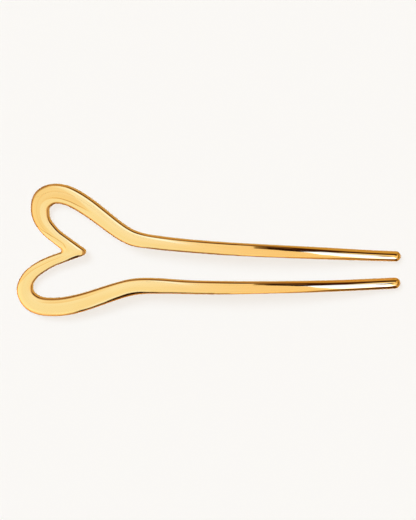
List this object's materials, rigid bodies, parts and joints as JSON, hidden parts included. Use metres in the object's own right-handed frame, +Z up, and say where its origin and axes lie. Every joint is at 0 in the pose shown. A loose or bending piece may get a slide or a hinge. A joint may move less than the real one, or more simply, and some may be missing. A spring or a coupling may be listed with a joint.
{
  "type": "hair fork",
  "caption": "Polished gold-coloured hair fork: one flat metal band bent into an open heart, with long arched prongs that turn round and end in blunt tips.",
  "frame": {"origin": "on the surface that the fork lies on, under the middle of its bounding box", "axes": "+X from the heart to the prongs' tips, +Y across the fork, +Z up out of the heart's front face side"},
  "size_m": [0.132, 0.0462, 0.0088],
  "materials": {
    "polished_gold": "mirror-polished pale gold"
  },
  "bodies": {
    "root": {"hair_fork": "polished_gold"}
  },
  "joints": []
}
